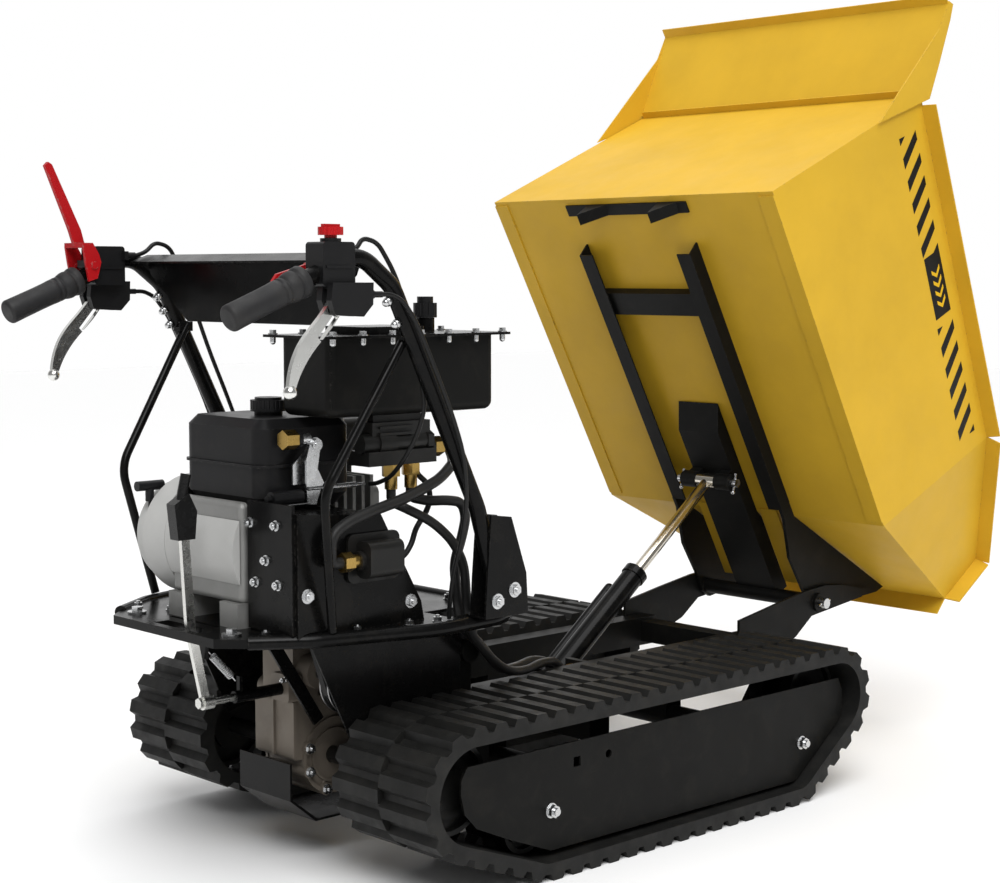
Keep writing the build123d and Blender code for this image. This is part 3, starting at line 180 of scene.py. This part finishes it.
def rubber(name, code, roughness=0.6, grain=900.0, strength=0.25, dust=0.12):
    """Matt rubber with a fine grain and pale scuffs."""
    base = srgb(code)
    s = Surface(name, roughness, specular=0.25)
    scuffs = s.span(s.noise(26.0, 7.0, 0.65), 0, dust, 0.45, 0.75)
    s.colour(s.mix(scuffs, s.mix(s.noise(7.0), shade(base, 0.85), shade(base, 1.2)), srgb(DUST)))
    s.rough(s.span(s.noise(40.0, 5.0), roughness - 0.08, roughness + 0.12, 0.3, 0.7))
    s.bump(s.noise(grain, 3.0, 0.6), strength, 0.0006)
    return s.material


def cast(name, code, metallic, roughness=0.45, grain=520.0, strength=0.4, dark="2a2622"):
    """Cast surface: pebbled skin and darker oil-stained patches."""
    base = srgb(code)
    s = Surface(name, roughness, metallic=metallic, specular=0.25)
    stain = s.span(s.noise(11.0, 8.0, 0.7, distortion=0.4), 0.0, 0.35, 0.5, 0.8)
    tone = s.mix(s.noise(60.0, 4.0), shade(base, 0.88), shade(base, 1.1))
    s.colour(s.mix(stain, tone, srgb(dark)))
    s.rough(s.span(s.noise(30.0, 5.0), roughness - 0.1, roughness + 0.14, 0.3, 0.7))
    s.bump(s.noise(grain, 3.0, 0.6), strength, 0.0008)
    return s.material


def bright(name, code, roughness=0.16, brushed=(1, 1, 1), strength=0.05, tarnish="5c5348"):
    """Bright metal with fine directional scratches and faint tarnish."""
    base = srgb(code)
    s = Surface(name, roughness, metallic=1.0)
    spots = s.span(s.noise(180.0, 5.0, 0.6), 0.0, 0.1, 0.55, 0.8)
    s.colour(s.mix(spots, s.mix(s.noise(18.0), shade(base, 0.92), base), srgb(tarnish)))
    s.rough(s.span(s.noise(90.0, 4.0, 0.6, stretch=brushed), roughness - 0.03, roughness + 0.04, 0.3, 0.7))
    s.bump(s.noise(120.0, 1.0, 0.5, stretch=brushed), strength, 0.0001)
    return s.material


def knobbed():
    """Bright lever whose upper end carries a moulded black knob."""
    s = Surface("gear_lever_metal_and_knob", 0.26, specular=0.25)
    height = s.tree.nodes.new("ShaderNodeSeparateXYZ")
    s.link(s.place, height.inputs[0])
    knob = s.span(height.outputs["Z"], 0.0, 1.0, KNOB_FROM, KNOB_FROM + 0.0002)
    metal = s.mix(s.noise(18.0), shade(srgb("d6d6d2"), 0.92), srgb("d6d6d2"))
    s.colour(s.mix(knob, metal, s.mix(s.noise(40.0), srgb("141414"), srgb("1c1c1c"))))
    s.link(s.span(knob, 1.0, 0.0), s.shader.inputs["Metallic"])
    s.rough(s.span(s.noise(90.0, 4.0), 0.22, 0.32, 0.3, 0.7))
    s.bump(s.noise(120.0, 1.0, 0.5), 0.05, 0.0001)
    return s.material


def plastic(name, code, roughness=0.42, grain=1100.0, strength=0.18):
    """Moulded plastic with a fine leather grain."""
    base = srgb(code)
    s = Surface(name, roughness, specular=0.22)
    s.colour(s.mix(s.noise(16.0, 5.0), shade(base, 0.9), shade(base, 1.12)))
    s.rough(s.span(s.noise(60.0, 4.0), roughness - 0.06, roughness + 0.08, 0.3, 0.7))
    s.bump(s.cells(grain), strength, 0.0004)
    return s.material


def make_materials():
    return {
        "yellow": painted("yellow_paint", "d0a62c", 0.5, 0.03, wear="8a7440", dust=0.03, specular=0.18),
        "black": painted("black_paint", "121211", 0.42, 0.0, wear="3a3835", peel=0.08),
        "gloss": painted("gloss_black_paint", "0b0b0b", 0.22, 0.03, wear="3a3835", peel=0.04),
        "barrel": painted("barrel_paint", "080808", 0.2, 0.03, wear="5a5752"),
        "tank": painted("tank_paint", "1a1a1b", 0.38, 0.06, wear="4e4c4a", peel=0.12),
        "red": painted("red_paint", "a8161b", 0.34, 0.08, wear="8d7b78"),
        "silver": painted("silver_paint", "adadab", 0.4, 0.06, peel=0.1, dust=0.1),
        "decal": painted("decal_black", "181818", 0.3, 0.1, peel=0.02),
        "decal_mark": painted("decal_yellow", "dcae1e", 0.3, 0.1, peel=0.02),
        "track": rubber("track_rubber", "131312", 0.55, strength=0.35, dust=0.08),
        "grip": rubber("grip_rubber", "232324", 0.55, grain=1500.0),
        "hose": rubber("hose_rubber", "1d1d1d", 0.42, grain=1800.0, dust=0.06),
        "belt": rubber("belt_rubber", "1a1a1a", 0.6),
        "sheath": plastic("cable_sheath", "151515", 0.32),
        "iron": cast("black_iron", "171716", 0.0, 0.38, dark="2e2824"),
        "case": cast("case_aluminium", "71695f", 0.2, 0.48),
        "alloy": cast("engine_alloy", "858583", 0.35, 0.45),
        "zinc": bright("zinc_plate", "cfd0d1", 0.26, strength=0.03, tarnish="8f8a80"),
        "steel": bright("turned_steel", "8c8c8c", 0.3),
        "chrome": bright("polished_chrome", "e8e8e5", 0.24, strength=0.02, tarnish="bbb8b0"),
        "gear_lever": knobbed(),
        "rod": bright("chromed_rod", "d6d0c4", 0.14, brushed=(1, 1, 9), strength=0.03),
        "brass": bright("brass", "b39453", 0.28, tarnish="6c5330"),
        "plastic": plastic("black_plastic", "161617", 0.36),
        "red_plastic": plastic("red_plastic", "ab1419", 0.28, strength=0.08),
    }


LOOK = make_materials()
NODE_LOOK = {
    "yellow": ["bin_shell", "spill_guard"],
    "black": ["chassis_frame", "track_frame_right", "track_frame_left", "side_plates", "muffler",
              "oil_tank", "bin_frame", "latch_strip"],
    "gloss": ["belly_plates", "deck_plate", "belt_guard", "oil_tank_lid", "handle_right",
              "handle_left", "stay_rods", "console_panel"],
    "barrel": ["cylinder_barrel"],
    "tank": ["fuel_tank"],
    "red": ["clutch_lever", "throttle_lever"],
    "red_plastic": ["stop_knob"],
    "silver": ["engine_shroud"],
    "track": ["track_right", "track_left"],
    "grip": ["handle_grips"],
    "hose": ["hydraulic_hoses"],
    "belt": ["drive_belt"],
    "sheath": ["control_cables"],
    "iron": ["sprocket_right", "sprocket_left", "idler_right", "idler_left", "roller_front_right",
             "roller_rear_right", "roller_front_left", "roller_rear_left", "hydraulic_pump",
             "control_valve"],
    "case": ["gearbox_case"],
    "alloy": ["engine_block"],
    "zinc": ["bolts_and_nuts", "return_spring", "hinge_pin", "rod_pin", "governor_arm"],
    "steel": ["engine_pulley", "gearbox_pulley", "valve_lever"],
    "chrome": ["steering_lever_right", "steering_lever_left"],
    "gear_lever": ["gear_lever"],
    "rod": ["cylinder_rod"],
    "brass": ["hose_fittings"],
    "plastic": ["recoil_grip", "fuel_cap", "carburettor", "oil_cap", "lever_perches"],
}


def dress_nodes():
    """Gives each node of the CAD model its material."""
    for look, names in NODE_LOOK.items():
        for name in names:
            slots = NODES[name].material_slots
            for entry in slots:
                entry.material = LOOK[look]
            if not slots:
                NODES[name].data.materials.append(LOOK[look])


dress_nodes()


def soften(name, width, segments=2):
    """Rounds a CAD node's edges so that they catch the light."""
    bevel = NODES[name].modifiers.new("edge", "BEVEL")
    bevel.width = width
    bevel.segments = segments
    bevel.limit_method = "ANGLE"
    bevel.angle_limit = math.radians(40)


# ---------------------------------------------------------------- mesh helpers
def mesh_piece(name, vertices, faces, look, body, smooth=False):
    mesh = bpy.data.meshes.new(name)
    mesh.from_pydata([tuple(v) for v in vertices], [], faces)
    mesh.materials.append(LOOK[look])
    for polygon in mesh.polygons:
        polygon.use_smooth = smooth
    piece = bpy.data.objects.new(name, mesh)
    bpy.context.scene.collection.objects.link(piece)
    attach(piece, body)
    return piece


def slab(outlines, to_world, thickness, name, look, body):
    """Thin closed plates from flat outlines, one mesh; to_world maps (a, b, level) to the frame."""
    vertices, faces = [], []
    for outline in outlines:
        base = len(vertices)
        count = len(outline)
        for level in (0.0, thickness):
            vertices.extend(to_world(a, b, level) for a, b in outline)
        faces.append([base + i for i in range(count)])
        faces.append([base + count + i for i in reversed(range(count))])
        for i in range(count):
            j = (i + 1) % count
            faces.append([base + j, base + i, base + count + i, base + count + j])
    return mesh_piece(name, vertices, faces, look, body)


# ---------------------------------------------------------------- decals
RIM_REAR, RIM_SLOPE = (47.0, 471.0), -0.1447      # bin rim: rear end and fall, forward
WALL = 349.0                                      # outer face of the bin's side walls
DECAL_TOP, DECAL_BOTTOM = 38.0, 93.0              # depths below the rim
DECAL_GAP, FILM, MARK_FILM = 0.12, 0.25, 0.15     # millimetres off the paint, and film thicknesses
BANDS = (95, 469)                                 # where the two runs of bars start
BAR_PITCH, BARS = 43.4, 5
END_MARKS = ((87, 1), (328, -1), (461, 1), (701, -1))


def below_rim(forward, depth):
    return (forward, RIM_REAR[1] + (forward - RIM_REAR[0]) * RIM_SLOPE - depth)


def stripe(start):
    """One slanted bar of the hazard band, starting at that distance along the rim."""
    return [below_rim(start, DECAL_TOP), below_rim(start + 18, DECAL_TOP),
            below_rim(start + 50, DECAL_BOTTOM), below_rim(start + 30, DECAL_BOTTOM)]


def chevron(start):
    return [below_rim(start, 76), below_rim(start + 8, 76), below_rim(start + 20, 62),
            below_rim(start + 8, 48), below_rim(start, 48), below_rim(start + 12, 62)]


def decals(side, tag):
    """Hazard bars, the plain plate between them and its four chevrons, on one wall of the bin."""
    bars = [stripe(start + BAR_PITCH * k) for start in BANDS for k in range(BARS)]
    for start, flip in END_MARKS:
        depth = DECAL_BOTTOM if flip > 0 else DECAL_TOP
        bars.append([below_rim(start, depth), below_rim(start + flip * 3, depth - flip * 19),
                     below_rim(start + flip * 13, depth)])

    def on_wall(a, b, level):
        return in_bin(a, side * (WALL + DECAL_GAP + level), b)

    def on_plate(a, b, level):
        return in_bin(a, side * (WALL + DECAL_GAP + FILM + 0.01 + level), b)

    slab(bars, on_wall, FILM, f"hazard_stripes_{tag}", "decal", "bin")
    plate = [[below_rim(322, 91), below_rim(327, 38), below_rim(449, 38), below_rim(444, 91)]]
    slab(plate, on_wall, FILM, f"bin_label_{tag}", "decal", "bin")
    marks = [chevron(352 + 20 * k) for k in range(4)]
    slab(marks, on_plate, MARK_FILM, f"bin_label_chevrons_{tag}", "decal_mark", "bin")


decals(-1, "right")
decals(1, "left")


# ---------------------------------------------------------------- curves swept as pieces
def sweep(name, points, radius, look, body):
    """Round wire along points, as a mesh."""
    curve = bpy.data.curves.new(name, "CURVE")
    curve.dimensions = "3D"
    curve.bevel_depth = radius
    curve.bevel_resolution = 3
    curve.use_fill_caps = True
    spline = curve.splines.new("POLY")
    spline.points.add(len(points) - 1)
    for point, at in zip(spline.points, points):
        point.co = (*at, 1.0)
    helper = bpy.data.objects.new(name + "_path", curve)
    mesh = bpy.data.meshes.new_from_object(helper)
    bpy.data.objects.remove(helper)
    mesh.name = name
    mesh.materials.clear()
    mesh.materials.append(LOOK[look])
    for polygon in mesh.polygons:
        polygon.use_smooth = True
    piece = bpy.data.objects.new(name, mesh)
    bpy.context.scene.collection.objects.link(piece)
    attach(piece, body)
    return piece


def helix(start, end, radius, turns, steps=16):
    """Points of a coil round the line from start to end."""
    axis = (end - start).normalized()
    side = axis.cross(Vector((0, 1, 0))).normalized()
    other = axis.cross(side)
    points = []
    for i in range(turns * steps + 1):
        a = 2 * math.pi * i / steps
        at = start + (end - start) * (i / (turns * steps))
        points.append(at + (side * math.cos(a) + other * math.sin(a)) * radius)
    return points


SPRING_COIL, SPRING_WIRE, SPRING_TURNS = 0.0054, 0.0011, 15


def build_spring():
    """Wound return spring of the gear lever with a straight tail at each end."""
    start, end = drawn(-741, -38, 352), drawn(-706, -38, 315)
    axis = (end - start).normalized()
    wire = [start - axis * 0.010, start - axis * 0.003]
    wire += helix(start, end, SPRING_COIL, SPRING_TURNS)
    wire += [end + axis * 0.003, end + axis * 0.010]
    spring = sweep("return_spring_coil", wire, SPRING_WIRE, "zinc", "chassis")
    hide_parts("return_spring")


build_spring()


# ---------------------------------------------------------------- grips
HANDLE_Y = 300.0
GRIP_END, GRIP_START = drawn(-880, 0, 874), drawn(-663, 0, 962)


def lathe(name, origin, axis, profile, look, body, segments=48):
    """Solid of revolution: profile is (distance along the axis, radius) pairs, capped at both ends."""
    axis = axis.normalized()
    side = axis.cross(Vector((0, 1, 0)))
    side = side.normalized() if side.length > 1e-3 else Vector((1, 0, 0))
    other = axis.cross(side).normalized()
    vertices, faces = [], []
    for along, radius in profile:
        for k in range(segments):
            a = 2 * math.pi * k / segments
            vertices.append(origin + axis * along + (side * math.cos(a) + other * math.sin(a)) * radius)
    for ring in range(len(profile) - 1):
        for k in range(segments):
            a, b = ring * segments + k, ring * segments + (k + 1) % segments
            faces.append([a, b, b + segments, a + segments])
    faces.append(list(reversed(range(segments))))
    faces.append([(len(profile) - 1) * segments + k for k in range(segments)])
    return mesh_piece(name, vertices, faces, look, body, smooth=True)


def grip_profile():
    """Rounded tip, smooth hand part swelling slightly, two bands and the inner collar, in metres."""
    profile = [(-0.009, 0.0135), (-0.0088, 0.015), (-0.0082, 0.0165), (-0.0072, 0.0177), (-0.006, 0.0187),
               (-0.0046, 0.0193), (-0.003, 0.0195)]
    profile += [(0.020, 0.0191), (0.050, 0.0188), (0.070, 0.0190), (0.078, 0.0195)]
    for at in (0.084, 0.092):
        profile += [(at, 0.0195), (at + 0.0006, 0.0186), (at + 0.0024, 0.0186), (at + 0.003, 0.0197)]
    profile += [(0.100, 0.0212), (0.104, 0.0221), (0.108, 0.0223), (0.112, 0.0217), (0.1135, 0.0204)]
    profile += [(0.1155, 0.0204), (0.117, 0.0226), (0.120, 0.0233), (0.1262, 0.0234), (0.1278, 0.0226),
                (0.128, 0.0205)]
    return profile


def build_grips():
    axis = GRIP_START - GRIP_END
    for side, tag in ((-1, "right"), (1, "left")):
        origin = GRIP_END + Vector((0, side * HANDLE_Y / 1000, 0))
        lathe(f"grip_{tag}", origin, axis, grip_profile(), "grip", "chassis")
    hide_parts("handle_grips")


build_grips()


# ---------------------------------------------------------------- cap nuts of the console panel
NUT_HEX = [(0.0, 0.0075), (0.0062, 0.0075), (0.0068, 0.0068)]
NUT_DOME = [(0.006, 0.006), (0.009, 0.0058), (0.0115, 0.0048), (0.0130, 0.0030), (0.0136, 0.0010)]
NUT_SEAT = 0.0128             # from the tube's centre line to the nut's foot


def cap_nuts():
    """Domed nuts on the rear of the handle tubes, where the console panel is bolted on."""
    bend, foot = drawn(-600, 0, 914), drawn(-434, 0, 578)
    along = (foot - bend).normalized()
    rearward = Vector((along.z, 0, -along.x)).normalized()
    for side, tag, places in ((1, "left", (14, 40, 66)), (-1, "right", (16, 52))):
        for number, place in enumerate(places, 1):
            seat = bend + along * place / 1000 + rearward * NUT_SEAT
            seat.y += side * HANDLE_Y / 1000
            lathe(f"cap_nut_{tag}_{number}", seat, rearward, NUT_HEX, "zinc", "chassis", segments=6)
            lathe(f"cap_nut_dome_{tag}_{number}", seat, rearward, NUT_DOME, "zinc", "chassis", segments=24)


cap_nuts()

# ---------------------------------------------------------------- edge rounding
EDGE_WIDTHS = {             # bevel width in metres: nodes
    0.0012: ["track_right", "track_left", "gearbox_case", "engine_block"],
    0.0008: ["deck_plate", "oil_tank", "side_plates", "control_valve", "clutch_lever"],
    0.001: ["belt_guard", "chassis_frame", "lever_perches", "hydraulic_pump", "bin_frame"],
    0.0006: ["bin_shell", "spill_guard"],
    0.0016: ["steering_lever_right", "steering_lever_left"],
    0.0005: ["bolts_and_nuts"],
}
for width, names in EDGE_WIDTHS.items():
    for name in names:
        soften(name, width)


# ---------------------------------------------------------------- studio
def studio_world():
    """White backdrop on the far side of the machine, fading to a dim room behind the photographer."""
    world = bpy.data.worlds.new("studio")
    world.use_nodes = True
    tree = world.node_tree
    place = tree.nodes.new("ShaderNodeTexCoord").outputs["Generated"]
    along = tree.nodes.new("ShaderNodeVectorMath")
    along.operation = "DOT_PRODUCT"
    along.inputs[1].default_value = (0.682, 0.726, 0.0)
    tree.links.new(place, along.inputs[0])
    ramp = tree.nodes.new("ShaderNodeValToRGB")
    ramp.color_ramp.elements[0].position = 0.1
    ramp.color_ramp.elements[0].color = (0.24, 0.24, 0.24, 1.0)
    ramp.color_ramp.elements[1].position = 0.72
    ramp.color_ramp.elements[1].color = (1.0, 1.0, 1.0, 1.0)
    tree.links.new(along.outputs["Value"], ramp.inputs["Fac"])
    background = tree.nodes["Background"]
    tree.links.new(ramp.outputs["Color"], background.inputs["Color"])
    background.inputs["Strength"].default_value = 1.0
    return world


FLOOR_REACH = 14.0
AIM = Vector((0.0, 0.0, 0.65))        # where the lamps point
LAMPS = (("key", (-2.6, -3.0, 3.6), 1.6, 40.0), ("top", (0.4, 0.2, 4.2), 3.2, 40.0))
SUN_WAY = Vector((0.3, 0.5, -0.8))
CAMERA_AZIMUTH, CAMERA_ELEVATION = math.radians(-43.2), math.radians(5.05)
CAMERA_PLACE = drawn(-2370.8, -2414.2, 931.8)
CAMERA_LENS = 68.2


def studio():
    """White floor, a wide soft sun for the sky and two square lamps."""
    scene = bpy.context.scene
    scene.world = studio_world()
    floor_mesh = bpy.data.meshes.new("floor")
    corners = [(FLOOR_REACH * x, FLOOR_REACH * y, 0) for x, y in ((-1, -1), (1, -1), (1, 1), (-1, 1))]
    floor_mesh.from_pydata(corners, [], [(0, 1, 2, 3)])
    floor = bpy.data.objects.new("floor", floor_mesh)
    surface = Surface("studio_floor", 0.8, specular=0.1)
    surface.colour((0.9, 0.9, 0.9))
    floor_mesh.materials.append(surface.material)
    scene.collection.objects.link(floor)
    floor.location.z = -0.0004
    sun_data = bpy.data.lights.new("sky_light", "SUN")
    sun_data.energy = 2.6
    sun_data.angle = math.radians(50)
    sun = bpy.data.objects.new("sky_light", sun_data)
    sun.rotation_euler = SUN_WAY.to_track_quat("-Z", "Y").to_euler()
    scene.collection.objects.link(sun)
    for name, place, size, power in LAMPS:
        data = bpy.data.lights.new(name, "AREA")
        data.shape = "SQUARE"
        data.size = size
        data.energy = power
        lamp = bpy.data.objects.new(name, data)
        lamp.location = place
        lamp.rotation_euler = (AIM - Vector(place)).to_track_quat("-Z", "Y").to_euler()
        scene.collection.objects.link(lamp)


def camera():
    azimuth, elevation = CAMERA_AZIMUTH, CAMERA_ELEVATION
    look = Vector((-math.sin(azimuth) * math.cos(elevation), math.cos(azimuth) * math.cos(elevation),
                   -math.sin(elevation)))
    data = bpy.data.cameras.new("camera")
    data.sensor_width = 36.0
    data.lens = CAMERA_LENS
    data.dof.use_dof = False
    shot = bpy.data.objects.new("camera", data)
    shot.location = CAMERA_PLACE
    right = look.cross(Vector((0, 0, 1))).normalized()
    up = right.cross(look)
    shot.rotation_euler = Matrix((right, up, -look)).transposed().to_euler()
    bpy.context.scene.collection.objects.link(shot)
    bpy.context.scene.camera = shot
    bpy.context.scene.view_settings.view_transform = "Standard"


studio()
camera()
